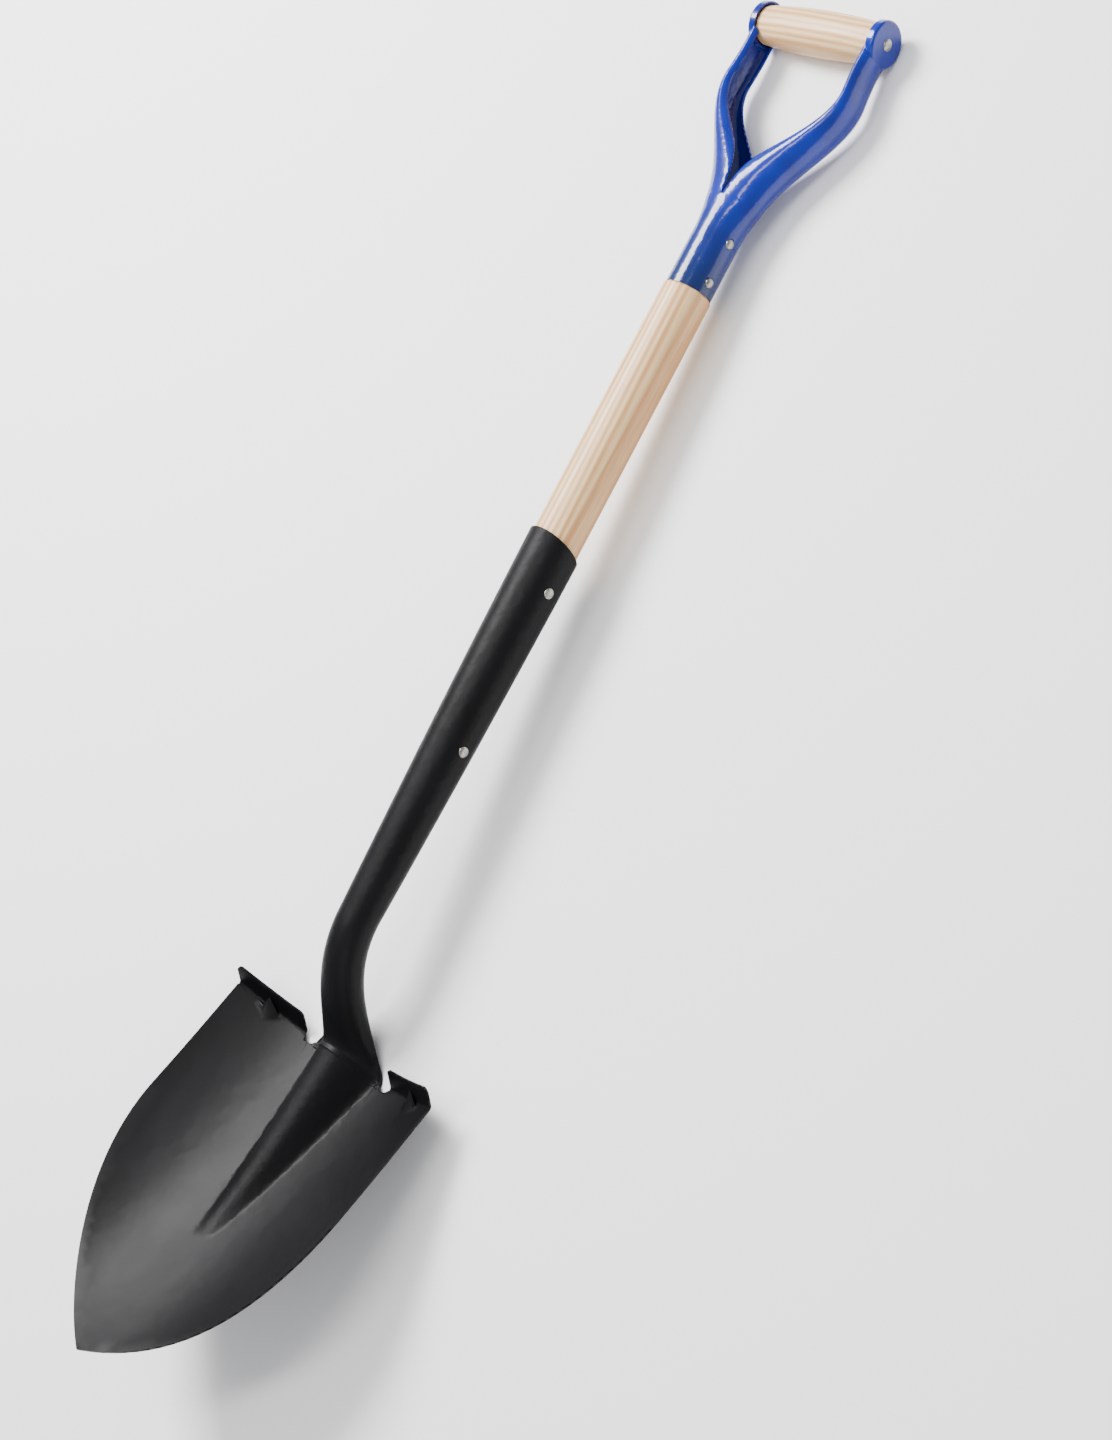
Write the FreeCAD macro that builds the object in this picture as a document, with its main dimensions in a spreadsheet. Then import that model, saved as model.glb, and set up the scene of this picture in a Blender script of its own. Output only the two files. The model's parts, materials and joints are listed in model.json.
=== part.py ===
"""Round point shovel with a D-grip: stamped blade and socket, ash shaft, forked yoke and turning grip.

Every piece is drawn in the shaft's own frame: +Y runs up the shaft to the grip with Y = 0 at the
socket's rim, +X is the blade's right and +Z faces out of the blade's hollow side. One placement
then lays the whole tool on its back, resting on the back of the blade and on the yoke.
"""
import FreeCAD, Part
import math
import os
import Sketcher
from FreeCAD import Placement, Rotation, Vector

os.makedirs("parts", exist_ok=True)
doc = FreeCAD.newDocument("RoundPointShovel")

# ---------------------------------------------------------------- driving sizes, in millimetres
SIZES = {
    # ash shaft
    "shaft_dia": 38.1,
    "bare_shaft_length": 211.0,
    "tail_length": 225.0,
    "tenon_length": 55.0,
    "shoulder_height": 1.6,
    # stamped steel of the blade, neck and socket
    "sheet_gauge": 2.0,
    "rim_clearance": 0.55,
    "waist_drop": 1.4,
    "throat_drop": 5.8,
    "rim_radius": "=shaft_dia / 2 + sheet_gauge + rim_clearance",
    "waist_radius": "=rim_radius - waist_drop",
    "throat_radius": "=rim_radius - throat_drop",
    "socket_length": 300.0,
    "rim_slant": 7.0,
    "seam_gap": 1.4,
    "wood_clearance": 0.15,
    # blade
    "blade_width": 222.0,
    "blade_length": 274.0,
    "side_length": 96.0,
    "dish_depth": 32.0,
    "blade_lift": 18.0,
    "blade_setback": 35.0,
    "neck_length": 95.0,
    "neck_lip": 8.0,
    "neck_half_width": 37.5,
    "frog_length": 168.0,
    "frog_height": 31.0,
    "frog_half_width": 34.0,
    "notch_radius": 6.0,
    "notch_depth": 3.5,
    "step_depth": 18.0,
    "step_angle": 67.0,
    "fold_radius": 3.0,
    "dart_place": 82.0,
    "dart_length": 12.0,
    # rivets through the socket and the ferrule
    "socket_rivet_low": 162.0,
    "socket_rivet_high": 33.0,
    "socket_rivet_shank": 5.0,
    "socket_rivet_head": 8.4,
    "ferrule_rivet_low": 9.5,
    "ferrule_rivet_high": 41.5,
    "ferrule_rivet_shank": 4.4,
    "ferrule_rivet_head": 7.4,
    "rivet_dome": 1.8,
    "rivet_turn": 10.0,
    # yoke
    "ferrule_dia": 36.2,
    "yoke_wall": 2.2,
    "ferrule_length": 72.0,
    "fork_half_width": 24.0,
    "grip_height": 215.0,
    "yoke_width": 120.0,
    "arm_bulge": 3.0,
    "ear_dia": 34.8,
    "ear_thickness": 2.6,
    "cup_depth": 4.0,
    "cup_wall": 2.0,
    # grip and its rivet
    "grip_clearance": 1.2,
    "grip_end_play": 2.2,
    "grip_mid_shy": 0.8,
    "grip_end_dia": "=ear_dia - 2 * cup_wall - grip_end_play",
    "grip_mid_dia": "=ear_dia - grip_mid_shy",
    "grip_chamfer": 2.5,
    "grip_rivet_shank": 6.4,
    "grip_rivet_head": 9.0,
    "running_clearance": 0.08,
}

sheet = doc.addObject("Spreadsheet::Sheet", "Sizes")
for row, (alias, number) in enumerate(SIZES.items(), start=1):
    sheet.set("A%d" % row, alias.replace("_", " "))
    sheet.set("B%d" % row, str(number))
    sheet.setAlias("B%d" % row, alias)
doc.recompute()


def size(alias):
    """A driving size as the sheet holds it."""
    return float(sheet.get(alias))


def bind(thing, **formulas):
    """Tie properties of an object to cells of the sheet."""
    for prop, formula in formulas.items():
        thing.setExpression(prop.replace("__", "."), formula)


def smooth(value):
    """Ease from 0 to 1 with level ends."""
    value = min(max(value, 0.0), 1.0)
    return value * value * (3.0 - 2.0 * value)


# ---------------------------------------------------------------- thin steel built from a grid
STITCH = 0.2        # how far a tongue of sheet stands inside the sheet that it is welded into


def normals(grid):
    """Unit normals of a grid of points, from the points around each one."""
    rows, columns = len(grid), len(grid[0])
    result = []
    for i in range(rows):
        line = []
        for j in range(columns):
            along = grid[min(i + 1, rows - 1)][j] - grid[max(i - 1, 0)][j]
            across = grid[i][min(j + 1, columns - 1)] - grid[i][max(j - 1, 0)]
            line.append(along.cross(across).normalize())
        result.append(line)
    return result


def shifted(grid, directions, distance):
    """The grid moved by a distance along each point's direction."""
    return [[p + n * distance for p, n in zip(line, ways)] for line, ways in zip(grid, directions)]


def face_through(grid):
    """A smooth face through a grid of points."""
    surface = Part.BSplineSurface()
    surface.interpolate(grid)
    return surface.toShape()


def plate(front, back):
    """A closed solid between two grids: the sheet's two sides and its four edges."""
    sides = [face_through(front), face_through(back)]
    borders = []
    for grid in (front, back):
        lines = [grid[0], [line[-1] for line in grid], grid[-1], [line[0] for line in grid]]
        borders.append(lines)
    faces = list(sides)
    surfaces = [side.Surface for side in sides]
    u_ends = [s.bounds()[:2] for s in surfaces]
    v_ends = [s.bounds()[2:] for s in surfaces]
    for end in (0, 1):
        pair = [s.uIso(u[end]).toShape() for s, u in zip(surfaces, u_ends)]
        faces.append(Part.makeRuledSurface(pair[0], pair[1]))
        pair = [s.vIso(v[end]).toShape() for s, v in zip(surfaces, v_ends)]
        faces.append(Part.makeRuledSurface(pair[0], pair[1]))
    shell = Part.makeShell(faces)
    shell.sewShape()
    solid = Part.makeSolid(shell)
    return solid if solid.Volume > 0 else plate(back, front)


# ---------------------------------------------------------------- the blade's own frame
LIFT = math.radians(size("blade_lift"))
HALF_BLADE = size("blade_width") / 2
CORNERS = Vector(0, -size("socket_length") - size("neck_length"), -size("blade_setback"))
DOWN = Vector(0, -math.cos(LIFT), math.sin(LIFT))     # along the blade to its point
OUT = Vector(0, math.sin(LIFT), math.cos(LIFT))       # out of its hollow side
DISH_POWER = 2.4
LENGTH_POWER = 3.0


def on_blade(x, down, out):
    """A point given across the blade, down it and out of it."""
    return Vector(x, 0, 0) + CORNERS + DOWN * down + OUT * out


def frog_part(x, down):
    """Height of the raised frog that carries the neck's crown down the blade."""
    left = 1.0 - down / size("frog_length")
    if left <= 0.0:
        return 0.0
    tip_width = 0.2 * size("frog_half_width")
    half = tip_width + (size("frog_half_width") - tip_width) * left ** 0.9
    share = abs(x) / half
    if share >= 1.0:
        return 0.0
    return size("frog_height") * left ** 1.2 * (1.0 - share ** 2.5) ** 2


def dish(x, down):
    """Depth of the hollow side, from the flat that its corners and point lie in."""
    lengthwise = (max(down, 0.0) / size("blade_length")) ** LENGTH_POWER
    crosswise = (abs(x) / HALF_BLADE) ** DISH_POWER
    return size("dish_depth") * (lengthwise + crosswise - 1.0) + frog_part(x, down)


def spread(count, low, high):
    """Evenly spaced numbers, both ends included."""
    return [low + (high - low) * i / (count - 1) for i in range(count)]


def dish_grid(downs, acrosses):
    return [[on_blade(x, down, dish(x, down)) for x in acrosses] for down in downs]


def blade_plate():
    """The dished plate, cut to its outline: straight sides, two long arcs and a blunt point."""
    margin = 4.0
    reach = HALF_BLADE + margin
    inner = size("frog_half_width") + margin
    acrosses = spread(9, -reach, -inner)[:-1] + spread(27, -inner, inner) + spread(9, inner, reach)[1:]
    front = dish_grid(spread(34, -margin, size("blade_length") + margin), acrosses)
    ways = normals(front)
    if ways[0][0].dot(OUT) < 0:
        ways = [[way * -1.0 for way in line] for line in ways]
    slab = plate(front, shifted(front, ways, -size("sheet_gauge")))

    length, side = size("blade_length"), size("side_length")
    run = length - side
    radius = (HALF_BLADE ** 2 + run ** 2) / (2 * HALF_BLADE)
    half_turn = math.asin(run / radius) / 2
    middle = (HALF_BLADE - radius + radius * math.cos(half_turn), side + radius * math.sin(half_turn))

    def low(x, down):
        return on_blade(x, down, -3 * size("dish_depth"))

    edges = [Part.LineSegment(low(-HALF_BLADE, 0), low(HALF_BLADE, 0)),
             Part.LineSegment(low(HALF_BLADE, 0), low(HALF_BLADE, side)),
             Part.Arc(low(HALF_BLADE, side), low(*middle), low(0, length)),
             Part.Arc(low(0, length), low(-middle[0], middle[1]), low(-HALF_BLADE, side)),
             Part.LineSegment(low(-HALF_BLADE, side), low(-HALF_BLADE, 0))]
    outline = Part.Face(Part.Wire([edge.toShape() for edge in edges]))
    return slab.common(outline.extrude(OUT * 6 * size("dish_depth")))


def notch(side):
    """The round-bottomed notch between the neck and a step."""
    radius = size("notch_radius")
    centre = on_blade(side * (size("neck_half_width") + radius),
                      size("notch_depth") - radius, -3 * size("dish_depth"))
    return Part.makeCylinder(radius, 6 * size("dish_depth"), centre, OUT)


def step_plate():
    """The left foot step: the blade's top edge folded forward to make a tread."""
    lap, fold = 3.0, size("fold_radius")
    turn = math.radians(size("step_angle"))
    first = size("neck_half_width") + 2 * size("notch_radius")
    acrosses = spread(15, -first, 0.5 - HALF_BLADE)
    flat = size("step_depth") - fold * math.tan(turn / 2)
    path = [(down, 0.0, 0.0) for down in spread(4, lap, 0.0)]
    path += [(-fold * math.sin(a), fold * (1 - math.cos(a)), a) for a in spread(5, 0.0, turn)[1:]]
    ends = path[-1]
    for run in spread(round(flat) + 1, 0.0, flat)[1:]:
        path.append((ends[0] - run * math.cos(turn), ends[1] + run * math.sin(turn), turn))
    front, ways = [], []
    nudge = 0.01
    for down, rise, angle in path:
        line, line_ways = [], []
        for x in acrosses:
            slope = (dish(x + nudge, 0) - dish(x - nudge, 0)) / (2 * nudge)
            way = Vector(-slope * math.cos(angle), 0, 0) + DOWN * math.sin(angle) + OUT * math.cos(angle)
            line_ways.append(way.normalize())
            line.append(on_blade(x, down, dish(x, max(down, 0.0)) + rise))
        front.append(line)
        ways.append(line_ways)
    step = plate(shifted(front, ways, -STITCH), shifted(front, ways, STITCH - size("sheet_gauge")))
    rounding = 4.0
    lip = [edge for edge in step.Edges if edge.Length < 1.2 * size("sheet_gauge")
           and (edge.CenterOfMass - CORNERS).dot(OUT) > dish(abs(edge.CenterOfMass.x), 0) + 0.7 * flat]
    return step.makeFillet(rounding, lip)


def dart():
    """The small three-cornered dart pressed across a step's fold to stiffen it."""
    place, reach = -size("dart_place"), size("dart_length")
    turn = math.radians(size("step_angle"))
    half = 0.6 * reach
    floor = dish(abs(place), 0)
    bury = 0.5 * size("sheet_gauge")
    foot = on_blade(place, reach, dish(abs(place), reach) - bury)
    head = on_blade(place, -reach * math.cos(turn), floor + reach * math.sin(turn))
    head = head - (DOWN * math.sin(turn) + OUT * math.cos(turn)) * bury
    left = on_blade(place - half, 0.4, dish(abs(place - half), 0) + 0.2)
    right = on_blade(place + half, 0.4, dish(abs(place + half), 0) + 0.2)
    back = on_blade(place, -0.5, floor - bury)
    triangles = [(foot, left, head), (foot, head, right), (foot, back, left),
                 (left, back, head), (head, back, right), (right, back, foot)]
    faces = [Part.Face(Part.makePolygon([a, b, c, a])) for a, b, c in triangles]
    solid = Part.makeSolid(Part.makeShell(faces))
    if solid.Volume < 0:
        solid.reverse()
    return solid


# ---------------------------------------------------------------- socket and neck
def socket_radius(depth):
    """Outside radius of the socket at a depth below its rim: a parabola through three sizes."""
    rim, waist, throat = size("rim_radius"), size("waist_radius"), size("throat_radius")
    half_way, full = 0.37 * size("socket_length"), size("socket_length")
    waist_slope = (waist - rim) / half_way
    bend = ((throat - rim) / full - waist_slope) / (full - half_way)
    return rim + depth * (waist_slope + bend * (depth - half_way))


def socket_and_neck():
    """One strip of sheet: rolled into the socket, then opening at the back into the frog."""
    strands = spread(33, -1.0, 1.0)
    seam = math.asin(size("seam_gap") / 2 / size("throat_radius"))

    def rolled(depth, strand):
        angle = strand * (math.pi - seam)
        radius = socket_radius(depth)
        return Vector(radius * math.sin(angle), -depth, radius * math.cos(angle))

    length = size("socket_length")
    grid = [[rolled(depth, strand) for strand in strands] for depth in spread(32, -10.0, length)]
    pull_start, pull_end, nudge, lap = 170.0, 30.0, 0.01, 4.0
    for share in spread(29, 0.0, 1.0)[1:]:
        start_weight = 1.0 - smooth(share)
        line = []
        for strand in strands:
            x = strand * size("neck_half_width")
            first = rolled(length, strand)
            last = on_blade(x, 0.0, dish(x, 0.0))
            tilt = (dish(x, nudge) - dish(x, 0.0)) / nudge
            leave = Vector(0, -pull_start, 0)
            arrive = (DOWN + OUT * tilt) * pull_end
            bow_out = leave * (share * (1 - share) ** 2) - arrive * (share ** 2 * (1 - share))
            edge_share = max(0.0, (abs(strand) - 0.6) / 0.4)
            lip = OUT * (-size("neck_lip") * edge_share ** 2 * 4 * start_weight * (1.0 - start_weight))
            line.append(first * start_weight + last * (1.0 - start_weight) + bow_out + lip)
        grid.append(line)
    grid.append([on_blade(s * size("neck_half_width"), lap, dish(s * size("neck_half_width"), lap))
                 for s in strands])
    ways = normals(grid)
    outward = 1.0 if ways[0][len(strands) // 2].z > 0 else -1.0
    ways = [[way * outward for way in line] for line in ways]
    strip = plate(shifted(grid, ways, -STITCH), shifted(grid, ways, STITCH - size("sheet_gauge")))

    room = 60.0
    slant = Part.makeBox(2 * room, room, 2 * room, Vector(-room, 0, -room))
    slant.rotate(Vector(), Vector(1, 0, 0), -math.degrees(math.atan2(size("rim_slant"), size("rim_radius"))))
    return strip.cut(slant)


def rivet_line(height):
    """Where a rivet's axis crosses the shaft, and the way it points."""
    turn = math.radians(size("rivet_turn"))
    return Vector(0, height, 0), Vector(math.cos(turn), 0, math.sin(turn))


def rivet_cuts(height, shank_dia, head_dia, radius):
    """The drilled hole and the two flats that a rivet's heads are set against."""
    centre, way = rivet_line(height)
    seat = seat_distance(radius, head_dia)
    reach = 2 * radius
    tools = [Part.makeCylinder(shank_dia / 2, 2 * reach, centre - way * reach, way)]
    for side in (-1, 1):
        tools.append(Part.makeCylinder(head_dia / 2 + 0.02, reach, centre + way * (side * seat), way * side))
    return tools


def seat_distance(radius, head_dia):
    """How far from the axis a round head meets a round tube all the way round its edge."""
    return math.sqrt(radius ** 2 - (head_dia / 2) ** 2)


def build_blade():
    plate_body = blade_plate()
    for side in (-1, 1):
        plate_body = plate_body.cut(notch(side))
    left = [step_plate(), dart()]
    right = [piece.mirror(Vector(), Vector(1, 0, 0)) for piece in left]
    whole = plate_body.multiFuse([socket_and_neck()] + left + right)
    for depth in (size("socket_rivet_low"), size("socket_rivet_high")):
        cuts = rivet_cuts(-depth, size("socket_rivet_shank"), size("socket_rivet_head"), socket_radius(depth))
        whole = whole.cut(cuts)
    return whole


# ---------------------------------------------------------------- forked yoke
FERRULE_FOOT = size("bare_shaft_length")
FORK = FERRULE_FOOT + size("ferrule_length")
GRIP_AXIS = FERRULE_FOOT + size("grip_height")
HALF_YOKE = size("yoke_width") / 2
LAP = 4.0


def tube_half_width(height):
    """Half the ferrule's width: round below, spreading towards the fork."""
    start = FERRULE_FOOT + 0.6 * size("ferrule_length")
    radius = size("ferrule_dia") / 2
    return radius + (size("fork_half_width") - radius) * max(0.0, (height - start) / (FORK - start)) ** 1.8


def ferrule_shell():
    """The ferrule: a tube that turns from round to oval below the fork."""
    angles = spread(49, 0.0, 2 * math.pi)
    depth = size("ferrule_dia") / 2
    grids = []
    for shrink in (0.0, size("yoke_wall")):
        grid = []
        for height in spread(15, FERRULE_FOOT, FORK):
            half = tube_half_width(height)
            grid.append([Vector((half - shrink) * math.cos(a), height, (depth - shrink) * math.sin(a))
                         for a in angles])
        grids.append(grid)
    solids = []
    for grid in grids:
        side = face_through(grid)
        surface = side.Surface
        caps = []
        for end in surface.bounds()[:2]:
            caps.append(Part.Face(Part.Wire(surface.uIso(end).toShape())))
        shell = Part.makeShell([side] + caps)
        shell.sewShape()
        solid = Part.makeSolid(shell)
        if solid.Volume < 0:
            solid.reverse()
        solids.append(solid)
    return solids[0].cut(solids[1])


def arm():
    """The left arm: half of the tube, spread outward and rolled round into a narrow C."""
    angles = spread(33, -1.0, 1.0)
    depth = size("ferrule_dia") / 2
    top = GRIP_AXIS - size("ear_dia") / 2 - 3.0
    cup_middle = size("ear_dia") / 2 - size("cup_wall") / 2
    split = 0.35
    outer, inner = [], []
    shares = [-LAP / (top - FORK)] + spread(round((top - FORK) / LAP) + 1, 0.0, 1.0)
    for share in shares + [None]:
        run = 1.0 if share is None else share
        height = FORK + (top - FORK) * run
        rise = max(run, 0.0)
        swing = smooth(rise / 0.8) if rise < 0.8 else 1.0
        out_start = tube_half_width(min(height, FORK))
        lead = 26.0 * rise * (1.0 - rise) ** 2
        outside = out_start + (HALF_YOKE + size("arm_bulge") * math.sin(math.pi * min(rise, 1.0)) ** 2
                               - out_start) * swing + lead
        breadth = depth + (0.40 * size("ear_dia") - depth) * smooth(rise)
        curl = math.radians(90 + 42 * smooth(rise / 0.45))
        half = out_start * (1 - swing) + 6.6 * swing
        centre = outside - half
        lines = []
        for shrink in (STITCH, size("yoke_wall") - STITCH):
            line = []
            for angle in angles:
                turn = angle * (curl - split / max(half, breadth))
                x = -centre - (half - shrink) * math.cos(turn)
                z = (breadth - shrink) * math.sin(turn)
                y = height
                if share is None:
                    y = GRIP_AXIS - math.sqrt(cup_middle ** 2 - min(abs(z), 0.9 * cup_middle) ** 2)
                line.append(Vector(x, y, z))
            lines.append(line)
        outer.append(lines[0])
        inner.append(lines[1])
    return plate(outer, inner)


def ear(side):
    """A pressed cup that takes the end of the grip, its face turned outward."""
    radius, wall = size("ear_dia") / 2, size("cup_wall")
    thick, deep = size("ear_thickness"), size("cup_depth")
    face = Vector(side * HALF_YOKE, GRIP_AXIS, 0)
    inward = Vector(-side, 0, 0)
    cup = Part.makeCylinder(radius, thick + deep, face, inward)
    rounded = [edge for edge in cup.Edges if edge.Closed and abs(edge.CenterOfMass.x - face.x) < 0.1]
    cup = cup.makeFillet(0.9 * thick, rounded)
    hollow = Part.makeCylinder(radius - wall, 2 * deep, face + inward * thick, inward)
    hole = Part.makeCylinder(size("grip_rivet_shank") / 2, 4 * thick, face - inward * thick, inward)
    return cup.cut(hollow).cut(hole)


def build_yoke():
    left = arm()
    pieces = [left, left.mirror(Vector(), Vector(1, 0, 0)), ear(-1), ear(1)]
    whole = ferrule_shell().multiFuse(pieces)
    radius = size("ferrule_dia") / 2
    for height in (size("ferrule_rivet_low"), size("ferrule_rivet_high")):
        cuts = rivet_cuts(FERRULE_FOOT + height, size("ferrule_rivet_shank"), size("ferrule_rivet_head"), radius)
        whole = whole.cut(cuts)
    return whole


# ---------------------------------------------------------------- pieces made from primitives
ALONG_SHAFT = Rotation(Vector(1, 0, 0), -90)      # turns +Z to +Y
REST = {}                                         # each node's place in the shaft's frame


def cylinder(name, radius, height, place):
    thing = doc.addObject("Part::Cylinder", name)
    bind(thing, Radius=radius, Height=height)
    thing.Placement = place
    return thing


def fuse(name, things):
    joined = doc.addObject("Part::MultiFuse", name)
    joined.Shapes = things
    return joined


def build_shaft():
    """The ash shaft: a tapered tail in the socket, a plain middle and a turned tenon."""
    half_way = 0.37 * size("socket_length")
    tail, gap = size("tail_length"), size("wood_clearance") + size("sheet_gauge")
    parts = []
    upper = doc.addObject("Part::Cone", "TailUpper")
    bind(upper, Radius1="Sizes.waist_radius - Sizes.sheet_gauge - Sizes.wood_clearance",
         Radius2="Sizes.shaft_dia / 2", Height="0.37 * Sizes.socket_length")
    upper.Placement = Placement(Vector(0, -half_way, 0), ALONG_SHAFT)
    lower = doc.addObject("Part::Cone", "TailLower")
    lower.Radius1 = socket_radius(tail) - gap
    bind(lower, Radius2="Sizes.waist_radius - Sizes.sheet_gauge - Sizes.wood_clearance",
         Height="Sizes.tail_length - 0.37 * Sizes.socket_length")
    lower.Placement = Placement(Vector(0, -tail, 0), ALONG_SHAFT)
    middle = cylinder("PlainMiddle", "Sizes.shaft_dia / 2", "Sizes.bare_shaft_length - Sizes.shoulder_height",
                      Placement(Vector(), ALONG_SHAFT))
    shoulder = doc.addObject("Part::Cone", "Shoulder")
    bind(shoulder, Radius1="Sizes.shaft_dia / 2", Radius2="Sizes.shaft_dia / 2 - Sizes.shoulder_height",
         Height="Sizes.shoulder_height")
    shoulder.Placement = Placement(Vector(0, FERRULE_FOOT - size("shoulder_height"), 0), ALONG_SHAFT)
    tenon = cylinder("Tenon", "Sizes.ferrule_dia / 2 - Sizes.yoke_wall - Sizes.wood_clearance",
                     "Sizes.tenon_length", Placement(Vector(0, FERRULE_FOOT, 0), ALONG_SHAFT))
    parts += [upper, lower, middle, shoulder, tenon]
    blank = fuse("ShaftBlank", parts)
    drills = []
    places = [("Low", -size("socket_rivet_low"), "socket_rivet_shank"),
              ("High", -size("socket_rivet_high"), "socket_rivet_shank"),
              ("TenonLow", FERRULE_FOOT + size("ferrule_rivet_low"), "ferrule_rivet_shank"),
              ("TenonHigh", FERRULE_FOOT + size("ferrule_rivet_high"), "ferrule_rivet_shank")]
    for name, height, shank in places:
        centre, way = rivet_line(height)
        drills.append(cylinder("Drill" + name, "Sizes.%s / 2" % shank, "2 * Sizes.shaft_dia",
                               Placement(centre - way * size("shaft_dia"), Rotation(Vector(0, 0, 1), way))))
    drilled = doc.addObject("Part::Cut", "DrilledShaft")
    drilled.Base = blank
    drilled.Tool = fuse("ShaftDrills", drills)
    return drilled


def build_rivet(name, shank, head, seat):
    """A rivet along its own Z: a shank and a low dome on each end."""
    stem = cylinder(name + "Shank", "Sizes.%s / 2" % shank, str(2 * seat), Placement(Vector(0, 0, -seat), Rotation()))
    domes = []
    for side, turn in ((1, 0), (-1, 180)):
        dome = doc.addObject("Part::Ellipsoid", name + ("Head" if side > 0 else "Tail"))
        bind(dome, Radius1="Sizes.rivet_dome", Radius2="Sizes.%s / 2" % head)
        dome.Angle1 = 0
        dome.Angle2 = 90
        dome.Placement = Placement(Vector(0, 0, side * seat), Rotation(Vector(1, 0, 0), turn))
        domes.append(dome)
    return fuse(name, [stem] + domes)


def build_grip():
    """The barrel-shaped wooden grip, turned about its rivet's axis."""
    body = doc.addObject("PartDesign::Body", "GripBody")
    plane = [f for f in body.Origin.OriginFeatures if f.Role == "XY_Plane"][0]
    sketch = body.newObject("Sketcher::SketchObject", "GripProfile")
    sketch.AttachmentSupport = [(plane, "")]
    sketch.MapMode = "FlatFace"
    half = HALF_YOKE - size("ear_thickness") - size("grip_clearance")
    bore = size("grip_rivet_shank") / 2 + size("running_clearance")
    end, middle, cut = size("grip_end_dia") / 2, size("grip_mid_dia") / 2, size("grip_chamfer")
    a, b, c = Vector(-half, bore), Vector(-half, end - cut), Vector(cut - half, end)
    d, e, f = Vector(half - cut, end), Vector(half, end - cut), Vector(half, bore)
    outline = [Part.LineSegment(a, b), Part.LineSegment(b, c), Part.Arc(d, Vector(0, middle), c),
               Part.LineSegment(d, e), Part.LineSegment(e, f), Part.LineSegment(f, a)]
    sketch.addGeometry(outline, False)
    arc_start, arc_end = 2, 1
    joins = [(0, 2, 1, 1), (1, 2, 2, arc_start), (2, arc_end, 3, 1), (3, 2, 4, 1), (4, 2, 5, 1), (5, 2, 0, 1)]
    for first, first_end, second, second_end in joins:
        sketch.addConstraint(Sketcher.Constraint("Coincident", first, first_end, second, second_end))
    sketch.addConstraint(Sketcher.Constraint("Vertical", 0))
    for first, first_end, second, second_end in ((0, 1, 4, 2), (1, 1, 3, 2), (1, 2, 3, 1)):
        sketch.addConstraint(Sketcher.Constraint("Symmetric", first, first_end, second, second_end, -2))
    half_rule = "(Sizes.yoke_width / 2 - Sizes.ear_thickness - Sizes.grip_clearance)"
    chord = "(%s - Sizes.grip_chamfer)" % half_rule
    swell = "(Sizes.grip_mid_dia / 2 - Sizes.grip_end_dia / 2)"
    measures = [("DistanceX", (4, 2), half, half_rule),
                ("DistanceY", (4, 2), bore, "Sizes.grip_rivet_shank / 2 + Sizes.running_clearance"),
                ("DistanceY", (3, 2), end - cut, "Sizes.grip_end_dia / 2 - Sizes.grip_chamfer"),
                ("DistanceX", (3, 1), half - cut, chord),
                ("DistanceY", (3, 1), end, "Sizes.grip_end_dia / 2")]
    for kind, (edge, point), value, rule in measures:
        index = sketch.addConstraint(Sketcher.Constraint(kind, -1, 1, edge, point, value))
        sketch.setExpression("Constraints[%d]" % index, rule)
    chord_now, swell_now = half - cut, middle - end
    index = sketch.addConstraint(Sketcher.Constraint("Radius", 2, (chord_now ** 2 + swell_now ** 2) / (2 * swell_now)))
    sketch.setExpression("Constraints[%d]" % index, "(%s ^ 2 + %s ^ 2) / (2 * %s)" % (chord, swell, swell))
    turned = body.newObject("PartDesign::Revolution", "GripTurned")
    turned.Profile = sketch
    turned.ReferenceAxis = (sketch, ["H_Axis"])
    turned.Angle = 360
    return body


def feature(name, shape):
    thing = doc.addObject("Part::Feature", name)
    thing.Shape = shape
    return thing


# ---------------------------------------------------------------- assembly
NODES = {
    "blade": (feature("Blade", build_blade()), Placement()),
    "handle_shaft": (build_shaft(), Placement()),
    "d_yoke": (feature("DYoke", build_yoke()), Placement()),
    "grip": (build_grip(), Placement(Vector(0, GRIP_AXIS, 0), Rotation())),
}
for node, height, kind, tube in (
        ("socket_rivet_lower", -size("socket_rivet_low"), "socket_rivet", socket_radius(size("socket_rivet_low"))),
        ("socket_rivet_upper", -size("socket_rivet_high"), "socket_rivet", socket_radius(size("socket_rivet_high"))),
        ("yoke_rivet_lower", FERRULE_FOOT + size("ferrule_rivet_low"), "ferrule_rivet", size("ferrule_dia") / 2),
        ("yoke_rivet_upper", FERRULE_FOOT + size("ferrule_rivet_high"), "ferrule_rivet", size("ferrule_dia") / 2)):
    centre, way = rivet_line(height)
    made = build_rivet("".join(w.title() for w in node.split("_")), kind + "_shank", kind + "_head",
                       seat_distance(tube, size(kind + "_head")))
    NODES[node] = (made, Placement(centre, Rotation(Vector(0, 0, 1), way)))
NODES["grip_rivet"] = (build_rivet("GripRivet", "grip_rivet_shank", "grip_rivet_head", HALF_YOKE),
                       Placement(Vector(0, GRIP_AXIS, 0), Rotation(Vector(0, 0, 1), Vector(1, 0, 0))))
doc.recompute()


def cloud(node):
    thing, place = NODES[node]
    return [place.multVec(p) for p in thing.Shape.tessellate(0.05)[0]]


def lowest(points, angle):
    return min(p.z * math.cos(angle) + p.y * math.sin(angle) for p in points)


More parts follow.
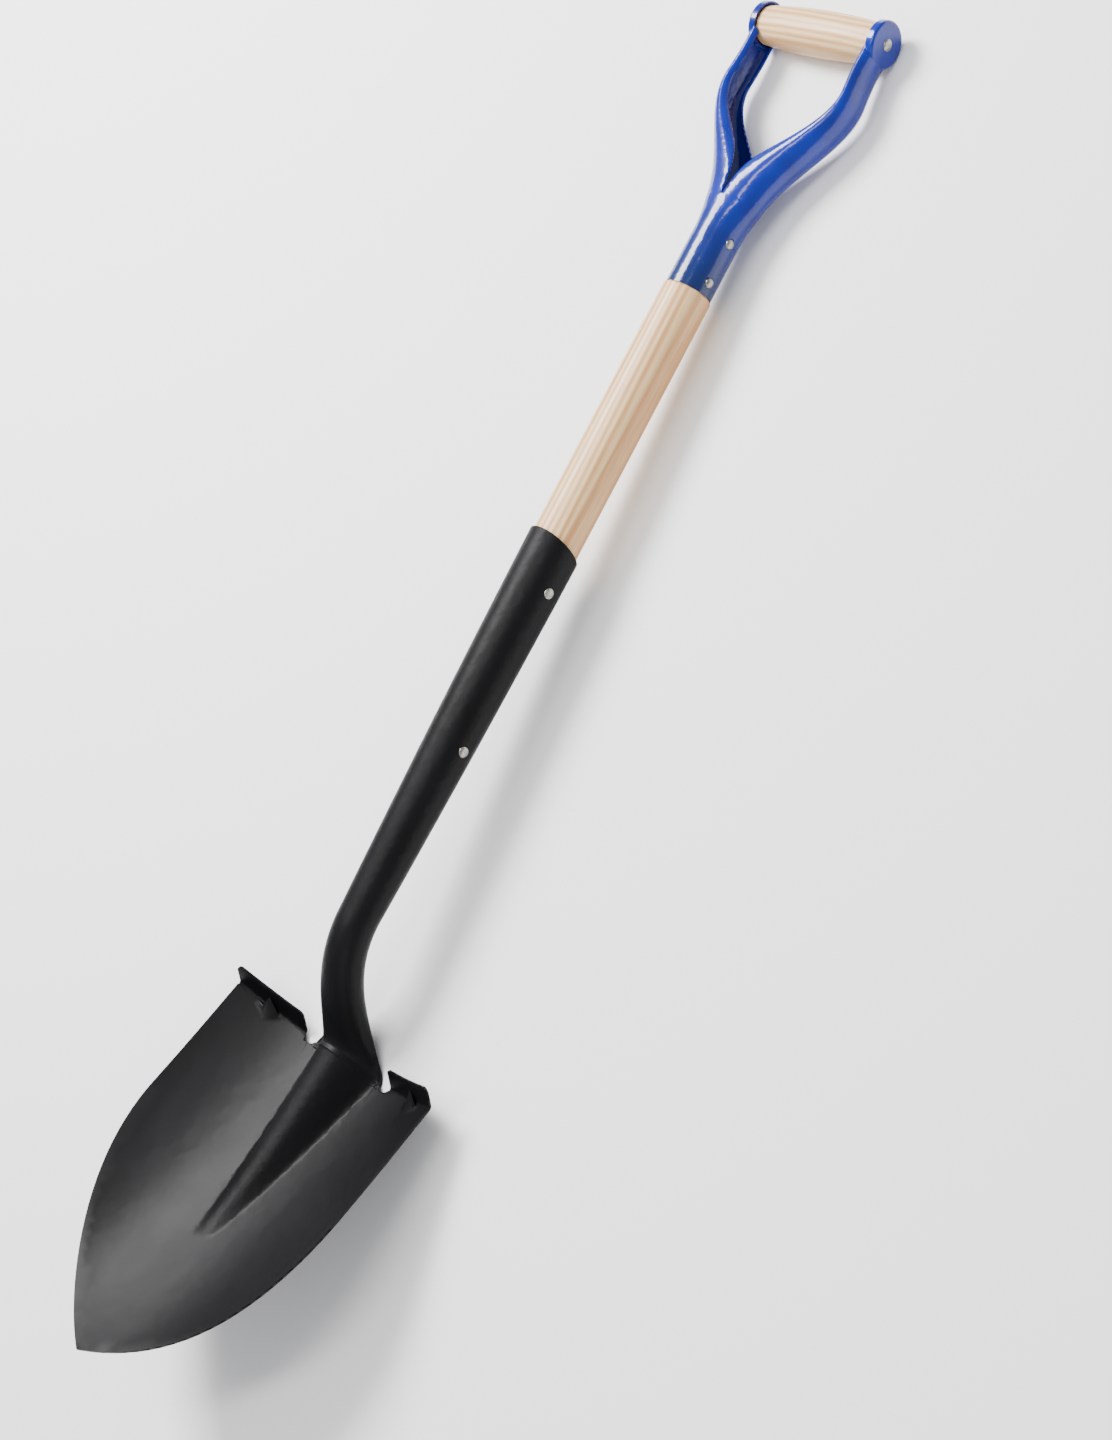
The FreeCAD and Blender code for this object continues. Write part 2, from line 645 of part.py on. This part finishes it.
# The tool lies on the blade's back and the yoke: the tilt that brings both down to one level.
blade_points, yoke_points = cloud("blade"), cloud("d_yoke")
shallow, steep = -0.3, 0.3
for _ in range(50):
    tilt = (shallow + steep) / 2
    if lowest(blade_points, tilt) > lowest(yoke_points, tilt):
        shallow = tilt
    else:
        steep = tilt
lying = Rotation(Vector(1, 0, 0), math.degrees(tilt))
lengths = [lying.multVec(p).y for node in NODES for p in cloud(node)]
middle_length = (min(lengths) + max(lengths)) / 2
ground = min(lowest(blade_points, tilt), lowest(yoke_points, tilt))
LAID_DOWN = Placement(Vector(0, -middle_length, -ground), lying)

for node, (thing, place) in NODES.items():
    thing.Label = node
    thing.Placement = LAID_DOWN.multiply(place)
doc.recompute()

for thing in doc.Objects:
    if "Invalid" in thing.State or "Error" in thing.State:
        raise RuntimeError("%s did not compute: %s" % (thing.Name, thing.State))
for node, (thing, place) in NODES.items():
    shape = thing.Shape
    if shape.isNull() or not shape.isValid() or len(shape.Solids) != 1:
        raise RuntimeError("%s is not one sound solid (%d solids)" % (node, len(shape.Solids)))
    shape.exportStep("parts/%s.step" % node)
    box = shape.BoundBox
    print("%-20s volume %9.0f  y %8.2f..%8.2f  z %7.2f..%7.2f" % (node, shape.Volume, box.YMin, box.YMax,
                                                                 box.ZMin, box.ZMax))
print("tilt %.4f degrees, middle %.3f, ground %.3f" % (math.degrees(tilt), middle_length, ground))
print("grip axis in the row frame:", LAID_DOWN.multVec(Vector(0, GRIP_AXIS, 0)))
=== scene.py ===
# %% [markdown]
# # A round point shovel
# The engineering model comes in first and is never moved: it says where every piece is. Here
# each piece gets a smooth, softly edged skin and a material made from what it really is. All
# lengths are metres, +Y runs from the blade's point to the grip and +Z points up.

# %% Load the frame
import json
import math
import bpy
from mathutils import Matrix, Vector

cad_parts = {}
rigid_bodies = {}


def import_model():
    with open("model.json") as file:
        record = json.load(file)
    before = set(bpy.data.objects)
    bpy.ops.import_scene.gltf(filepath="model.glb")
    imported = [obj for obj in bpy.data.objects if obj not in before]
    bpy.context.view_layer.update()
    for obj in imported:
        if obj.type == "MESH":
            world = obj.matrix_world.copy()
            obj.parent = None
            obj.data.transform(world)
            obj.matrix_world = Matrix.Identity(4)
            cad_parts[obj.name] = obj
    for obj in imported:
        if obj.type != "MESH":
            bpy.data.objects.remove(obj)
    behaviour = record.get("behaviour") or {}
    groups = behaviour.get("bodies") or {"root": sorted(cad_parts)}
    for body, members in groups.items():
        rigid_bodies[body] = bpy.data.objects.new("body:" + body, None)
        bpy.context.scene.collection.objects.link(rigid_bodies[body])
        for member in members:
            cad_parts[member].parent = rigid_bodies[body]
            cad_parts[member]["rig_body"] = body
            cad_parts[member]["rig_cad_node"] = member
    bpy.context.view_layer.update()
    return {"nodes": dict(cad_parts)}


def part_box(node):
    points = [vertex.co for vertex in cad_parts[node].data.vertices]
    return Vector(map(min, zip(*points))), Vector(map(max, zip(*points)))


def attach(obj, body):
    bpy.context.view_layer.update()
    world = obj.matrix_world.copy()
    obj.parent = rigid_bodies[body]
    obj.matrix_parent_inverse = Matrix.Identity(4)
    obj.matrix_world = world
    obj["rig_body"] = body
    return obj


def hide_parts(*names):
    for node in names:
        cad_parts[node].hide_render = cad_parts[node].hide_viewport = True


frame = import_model()

# %% [markdown]
# ## Small helpers
# Colours are picked as sRGB hex, as in a paint program, but Blender's shaders work in linear
# light, so one function turns them over. A second one adds any node with its settings and links.

# %% Colour and node helpers
MM = 0.001


def linear(code):
    """A colour like "#C8B090" as linear red, green, blue and alpha."""
    parts = [int(code[i:i + 2], 16) / 255 for i in (1, 3, 5)]
    return [p / 12.92 if p <= 0.04045 else ((p + 0.055) / 1.055) ** 2.4 for p in parts] + [1.0]


def node(tree, kind, inputs=None, **settings):
    """Add a node, set its properties, and fill or link its inputs."""
    made = tree.nodes.new(kind)
    for name, value in settings.items():
        setattr(made, name, value)
    for name, value in (inputs or {}).items():
        socket = made.inputs[name]
        if isinstance(value, bpy.types.NodeSocket):
            tree.links.new(value, socket)
        else:
            socket.default_value = value
    return made


def new_material(name):
    """An empty material with only a Principled shader wired to its output."""
    material = bpy.data.materials.new(name)
    material.use_nodes = True
    return material, material.node_tree, material.node_tree.nodes["Principled BSDF"]


def ramp(tree, factor, *stops):
    """A colour ramp: each stop is a place from 0 to 1 and a hex colour."""
    made = node(tree, "ShaderNodeValToRGB", {"Fac": factor})
    points = made.color_ramp.elements
    while len(points) < len(stops):
        points.new(0.5)
    for point, (place, code) in zip(points, stops):
        point.position = place
        point.color = linear(code)
    return made.outputs["Color"]


# %% [markdown]
# ## Where the shaft runs
# The tool lies on its back, so the shaft slopes a little. The grip's rivet and the lower socket
# rivet both sit on the shaft's centre line, and the line between them is its direction. The grain
# of the wood follows it.

# %% Find the shaft's line
def centre(name):
    low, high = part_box(name)
    return (low + high) / 2


SHAFT_WAY = (centre("grip_rivet") - centre("socket_rivet_lower")).normalized()
SLOPE = math.atan2(SHAFT_WAY.z, SHAFT_WAY.y)
print("the shaft slopes %.2f degrees" % math.degrees(SLOPE))

# %% [markdown]
# ## Satin black powder coat
# Powder coat is dry plastic dust, charged so that it clings to the steel and then baked until it
# flows. It stays faintly pebbled at about a millimetre and never gets mirror smooth, so its
# highlights are broad. The roughness wanders a little, as handling polishes it unevenly.

# %% Powder-coated steel
powder, tree, shader = new_material("powder_coated_steel")
place = node(tree, "ShaderNodeTexCoord").outputs["Object"]
cloud = node(tree, "ShaderNodeTexNoise", {"Vector": place, "Scale": 14.0, "Detail": 5.0})
pebble = node(tree, "ShaderNodeTexNoise", {"Vector": place, "Scale": 1 / (0.9 * MM), "Detail": 2.0})
swell = node(tree, "ShaderNodeTexNoise", {"Vector": place, "Scale": 1 / (18 * MM), "Detail": 2.0})
dust = node(tree, "ShaderNodeTexNoise", {"Vector": place, "Scale": 1 / (2.2 * MM), "Detail": 4.0})
speck = node(tree, "ShaderNodeMapRange", {"Value": dust.outputs["Fac"],
                                          "From Min": 0.68, "From Max": 0.78})
base = ramp(tree, cloud.outputs["Fac"], (0.3, "#070708"), (0.7, "#0C0C0E"))
mixed = node(tree, "ShaderNodeMix", {"Factor": speck.outputs["Result"], "A": base, "B": linear("#17171A")},
             data_type="RGBA")
tree.links.new(mixed.outputs["Result"], shader.inputs["Base Color"])
rough = node(tree, "ShaderNodeMapRange", {"Value": cloud.outputs["Fac"], "To Min": 0.38, "To Max": 0.50})
tree.links.new(rough.outputs["Result"], shader.inputs["Roughness"])
waves = node(tree, "ShaderNodeBump", {"Height": swell.outputs["Fac"], "Distance": 0.35 * MM, "Strength": 0.5})
grain = node(tree, "ShaderNodeBump", {"Height": pebble.outputs["Fac"], "Distance": 0.05 * MM,
                                      "Strength": 0.6, "Normal": waves.outputs["Normal"]})
tree.links.new(grain.outputs["Normal"], shader.inputs["Normal"])
shader.inputs["Specular IOR Level"].default_value = 0.12
print("made", powder.name)

# %% [markdown]
# ## Lacquered ash
# Ash is a pale, straight-grained wood. Its early wood is full of open pores, which show as fine
# dark dashes, and its late wood is smooth and darker, which gives the long stripes. Noise that
# is squeezed across the shaft and drawn out along it makes both. A thin clear lacquer adds a
# soft second highlight.

# %% Ash, turned and lacquered
def ash(name, pale, deep, along):
    """Ash with its grain along a direction, given as the turn that brings it to the Y axis."""
    material, tree, shader = new_material(name)
    place = node(tree, "ShaderNodeTexCoord").outputs["Object"]
    level = node(tree, "ShaderNodeMapping", {"Vector": place, "Rotation": along})
    stretched = node(tree, "ShaderNodeMapping", {"Vector": level.outputs["Vector"], "Scale": (1.0, 0.035, 1.0)})
    wander = node(tree, "ShaderNodeTexNoise", {"Vector": stretched.outputs["Vector"], "Scale": 1 / (14 * MM),
                                               "Detail": 3.0})
    rings = node(tree, "ShaderNodeTexWave", {"Vector": stretched.outputs["Vector"], "Scale": 1 / (16 * MM),
                                             "Distortion": 5.0, "Detail": 3.0, "Detail Scale": 1.2},
                 bands_direction="X")
    fibre = node(tree, "ShaderNodeTexNoise", {"Vector": stretched.outputs["Vector"], "Scale": 1 / (1.1 * MM),
                                              "Detail": 4.0})
    pores = node(tree, "ShaderNodeTexNoise", {"Vector": stretched.outputs["Vector"], "Scale": 1 / (0.7 * MM),
                                              "Detail": 2.0})
    blend = node(tree, "ShaderNodeMath", {0: rings.outputs["Fac"], 1: 0.45}, operation="MULTIPLY")
    drift = node(tree, "ShaderNodeMath", {0: wander.outputs["Fac"], 1: 0.35, 2: blend.outputs["Value"]},
                 operation="MULTIPLY_ADD")
    streak = node(tree, "ShaderNodeMath", {0: fibre.outputs["Fac"], 1: 0.35, 2: drift.outputs["Value"]},
                  operation="MULTIPLY_ADD")
    wood = ramp(tree, streak.outputs["Value"], (0.25, pale), (0.85, deep))
    dash = node(tree, "ShaderNodeMapRange", {"Value": pores.outputs["Fac"], "From Min": 0.62, "From Max": 0.72,
                                             "To Max": 0.5})
    mixed = node(tree, "ShaderNodeMix", {"Factor": dash.outputs["Result"], "A": wood, "B": linear("#B08A5C")},
                 data_type="RGBA")
    tree.links.new(mixed.outputs["Result"], shader.inputs["Base Color"])
    rough = node(tree, "ShaderNodeMapRange", {"Value": fibre.outputs["Fac"], "To Min": 0.42, "To Max": 0.58})
    tree.links.new(rough.outputs["Result"], shader.inputs["Roughness"])
    bump = node(tree, "ShaderNodeBump", {"Height": fibre.outputs["Fac"], "Distance": 0.06 * MM,
                                         "Strength": 0.5})
    tree.links.new(bump.outputs["Normal"], shader.inputs["Normal"])
    shader.inputs["Coat Weight"].default_value = 0.22
    shader.inputs["Coat Roughness"].default_value = 0.28
    return material


shaft_ash = ash("ash_turned_lacquered", "#E9C793", "#B98149", (-SLOPE, 0, 0))
grip_ash = ash("ash_turned_grip", "#EFCF9F", "#C6935A", (0, 0, math.pi / 2))
print("made", shaft_ash.name, "and", grip_ash.name)

# %% [markdown]
# ## Blue gloss enamel
# The yoke is dipped or sprayed with thick enamel and baked. It pulls together into orange peel a
# several millimetres across, with small bits caught in it, under a very smooth skin, so the white
# streaks are sharp but wobble. Towards the ferrule's foot its blue turns darker and greener.

# %% Baked enamel
enamel, tree, shader = new_material("baked_blue_enamel")
place = node(tree, "ShaderNodeTexCoord").outputs["Object"]
split = node(tree, "ShaderNodeSeparateXYZ", {"Vector": place})
# The blue is mixed towards a dark navy over the last 75 mm before the ferrule's foot.
FERRULE_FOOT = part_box("d_yoke")[0].y
FOOT_DARKENING_SPAN = 75 * MM
foot_darkening = node(tree, "ShaderNodeMapRange", {"Value": split.outputs["Y"], "From Min": FERRULE_FOOT,
                                         "From Max": FERRULE_FOOT + FOOT_DARKENING_SPAN})
mottle = node(tree, "ShaderNodeTexNoise", {"Vector": place, "Scale": 1 / (30 * MM), "Detail": 3.0})
blues = ramp(tree, mottle.outputs["Fac"], (0.3, "#001470"), (0.75, "#021F92"))
body_blue = node(tree, "ShaderNodeMix", {"Factor": foot_darkening.outputs["Result"], "A": linear("#041C4C"), "B": blues},
                 data_type="RGBA")
bits = node(tree, "ShaderNodeTexNoise", {"Vector": place, "Scale": 1 / (1.6 * MM), "Detail": 2.0})
bit = node(tree, "ShaderNodeMapRange", {"Value": bits.outputs["Fac"], "From Min": 0.72, "From Max": 0.8})
mixed = node(tree, "ShaderNodeMix", {"Factor": bit.outputs["Result"], "A": body_blue.outputs["Result"],
                                     "B": linear("#2A50C0")}, data_type="RGBA")
tree.links.new(mixed.outputs["Result"], shader.inputs["Base Color"])
peel = node(tree, "ShaderNodeTexNoise", {"Vector": place, "Scale": 1 / (7 * MM), "Detail": 2.0})
lump = node(tree, "ShaderNodeBump", {"Height": peel.outputs["Fac"], "Distance": 0.5 * MM, "Strength": 0.45})
nib = node(tree, "ShaderNodeBump", {"Height": bits.outputs["Fac"], "Distance": 0.05 * MM, "Strength": 0.4,
                                    "Normal": lump.outputs["Normal"]})
tree.links.new(nib.outputs["Normal"], shader.inputs["Normal"])
tree.links.new(lump.outputs["Normal"], shader.inputs["Coat Normal"])
shader.inputs["Roughness"].default_value = 0.24
shader.inputs["Specular IOR Level"].default_value = 0.2
shader.inputs["Coat Weight"].default_value = 0.5
shader.inputs["Coat Roughness"].default_value = 0.05
print("made", enamel.name)

# %% [markdown]
# ## Peened steel
# The rivets are soft steel, spread by many hammer blows into low domes. Each blow leaves a shallow
# facet a millimetre or so wide, and the bare metal dulls a little between them.

# %% Peened steel
steel, tree, shader = new_material("peened_steel")
place = node(tree, "ShaderNodeTexCoord").outputs["Object"]
blows = node(tree, "ShaderNodeTexVoronoi", {"Vector": place, "Scale": 1 / (1.8 * MM), "Smoothness": 0.6},
             feature="SMOOTH_F1")
film = node(tree, "ShaderNodeTexNoise", {"Vector": place, "Scale": 1 / (2.5 * MM), "Detail": 4.0})
shine = ramp(tree, film.outputs["Fac"], (0.3, "#7C7973"), (0.7, "#AAA7A1"))
tree.links.new(shine, shader.inputs["Base Color"])
rough = node(tree, "ShaderNodeMapRange", {"Value": film.outputs["Fac"], "To Min": 0.22, "To Max": 0.42})
tree.links.new(rough.outputs["Result"], shader.inputs["Roughness"])
facets = node(tree, "ShaderNodeBump", {"Height": blows.outputs["Distance"], "Distance": 0.25 * MM,
                                       "Strength": 0.5})
tree.links.new(facets.outputs["Normal"], shader.inputs["Normal"])
shader.inputs["Metallic"].default_value = 1.0
print("made", steel.name)

# %% [markdown]
# ## A smooth skin for every piece
# The engineering mesh is loose triangles, which shade as flat facets. A copy of each piece is
# welded by distance, its flat faces are joined up, and it is shaded smooth except across real
# edges. A small bevel on the turned and headed pieces catches the light as a real edge does. The
# copy then stands in for the frame's own node and rides on the same body.

# %% Copy, weld, soften and hand over
WELD = 0.02 * MM
FLAT_WITHIN = math.radians(0.4)
EDGE_FROM = math.radians(28)
TURNED_EDGE = 0.6 * MM
RIVET_EDGE = 0.12 * MM


def skin(name, piece_name, material, sharp, edge=0.0):
    """A welded and smoothly shaded copy of a CAD node that replaces it."""
    source = frame["nodes"][name]
    bpy.ops.object.select_all(action="DESELECT")
    source.select_set(True)
    bpy.context.view_layer.objects.active = source
    bpy.ops.object.duplicate()
    piece = bpy.context.view_layer.objects.active
    piece.name = piece_name
    piece.data.name = piece_name
    body = piece["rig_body"]
    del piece["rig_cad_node"]
    bpy.ops.object.mode_set(mode="EDIT")
    bpy.ops.mesh.select_all(action="SELECT")
    bpy.ops.mesh.remove_doubles(threshold=WELD)
    bpy.ops.mesh.dissolve_degenerate(threshold=WELD)
    if edge:
        bpy.ops.mesh.dissolve_limited(angle_limit=FLAT_WITHIN)
    bpy.ops.mesh.normals_make_consistent(inside=False)
    bpy.ops.object.mode_set(mode="OBJECT")
    if edge:
        soft = piece.modifiers.new("soft_edge", "BEVEL")
        soft.width = edge
        soft.segments = 3
        soft.limit_method = "ANGLE"
        soft.angle_limit = EDGE_FROM
        bpy.ops.object.modifier_apply(modifier=soft.name)
    bpy.ops.object.shade_smooth_by_angle(angle=math.radians(sharp))
    weigh = piece.modifiers.new("weigh_by_area", "WEIGHTED_NORMAL")
    weigh.keep_sharp = True
    weigh.mode = "FACE_AREA_WITH_ANGLE"
    bpy.ops.object.modifier_apply(modifier=weigh.name)
    piece.data.materials.clear()
    piece.data.materials.append(material)
    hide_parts(name)
    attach(piece, body)
    print("%-22s %6d faces" % (piece_name, len(piece.data.polygons)))
    return piece


# %% [markdown]
# ## The stamped blade
# Blade, neck and socket are one sheet of steel. It is cut flat, dished and ribbed in a press, its
# top is folded into two foot steps, and its tail is rolled round the shaft. The angle at which
# shading breaks is kept low enough that the sheet's cut edges and folds stay crisp.

# %% Blade
skin("blade", "stamped_blade", powder, sharp=30.0)

# %% [markdown]
# ## The ash shaft and grip
# The shaft is turned with a tail that tapers into the socket and a rounded shoulder that meets the
# ferrule. The grip is a small barrel, bored through for its rivet, with its ends chamfered.

# %% Wood
skin("handle_shaft", "ash_shaft", shaft_ash, sharp=40.0, edge=TURNED_EDGE)
skin("grip", "turned_grip", grip_ash, sharp=40.0, edge=TURNED_EDGE)

# %% [markdown]
# ## The forked yoke
# Formed steel: a ferrule that opens into two arms, each ending in a round cup that holds the grip.

# %% Yoke
skin("d_yoke", "forked_yoke", enamel, sharp=32.0)

# %% [markdown]
# ## The rivets
# Two go through the socket, two through the ferrule, and a long one carries the grip.

# %% Rivets
RIVETS = ("socket_rivet_lower", "socket_rivet_upper", "yoke_rivet_lower",
          "yoke_rivet_upper", "grip_rivet")
for rivet in RIVETS:
    skin(rivet, "peened_" + rivet, steel, sharp=30.0, edge=RIVET_EDGE)

# %% [markdown]
# ## Floor, light and camera
# A wide matt white floor fills the picture. One big soft lamp from the left and above makes the
# long streaks and a soft shadow to the right, and two weaker ones keep the dark side readable. The
# camera stands close and high, with its true place and turn written out as a matrix.

# %% Floor
bpy.ops.object.select_all(action="DESELECT")
FLOOR_SIZE = 14.0
bpy.ops.mesh.primitive_plane_add(size=FLOOR_SIZE, location=(0, 0, 0))
floor = bpy.context.view_layer.objects.active
floor.name = "pale_floor"
paper, tree, shader = new_material("matt_white_paper")
shader.inputs["Base Color"].default_value = linear("#F4F4F4")
shader.inputs["Roughness"].default_value = 0.9
shader.inputs["Specular IOR Level"].default_value = 0.1
floor.data.materials.append(paper)

# %% Lights
world = bpy.data.worlds.new("pale_studio")
bpy.context.scene.world = world
world.use_nodes = True
sky = world.node_tree.nodes["Background"]
sky.inputs["Color"].default_value = linear("#F2F4F7")
sky.inputs["Strength"].default_value = 0.75


def lamp(name, place, target, width, height, power):
    """A soft rectangular lamp that faces a point."""
    data = bpy.data.lights.new(name, "AREA")
    data.shape = "RECTANGLE"
    data.size, data.size_y = width, height
    data.energy = power
    made = bpy.data.objects.new(name, data)
    bpy.context.scene.collection.objects.link(made)
    made.location = place
    made.rotation_mode = "QUATERNION"
    made.rotation_quaternion = (Vector(target) - Vector(place)).to_track_quat("-Z", "Y")
    return made


lamp("key_softbox", (-1.3, 0.9, 1.9), (0, 0, 0), 1.0, 1.0, 170)
lamp("top_strip", (0.1, 0.1, 2.4), (0, 0, 0), 0.4, 2.2, 34)
lamp("low_fill", (1.2, -1.4, 1.2), (0, 0, 0), 1.0, 1.0, 8)

# %% Camera
PLACE = Vector((1.12884, -0.01566, 1.26977))
RIGHT = Vector((0.68495, 0.43093, -0.58748))
UP = Vector((-0.32912, 0.90238, 0.27819))
BACK = Vector((0.65001, 0.00281, 0.75992))
SENSOR = 36.0
FOCAL_SHARE = 2300 / 1440
camera_data = bpy.data.cameras.new("studio_camera")
camera_data.sensor_width = SENSOR
camera_data.lens = SENSOR * FOCAL_SHARE
camera_data.shift_x = 0.0017
camera_data.shift_y = 0.0131
camera = bpy.data.objects.new("studio_camera", camera_data)
bpy.context.scene.collection.objects.link(camera)
turn = Matrix((RIGHT, UP, BACK)).transposed()
camera.matrix_world = Matrix.Translation(PLACE) @ turn.to_4x4()
bpy.context.scene.camera = camera
print("lens %.1f mm" % camera_data.lens)
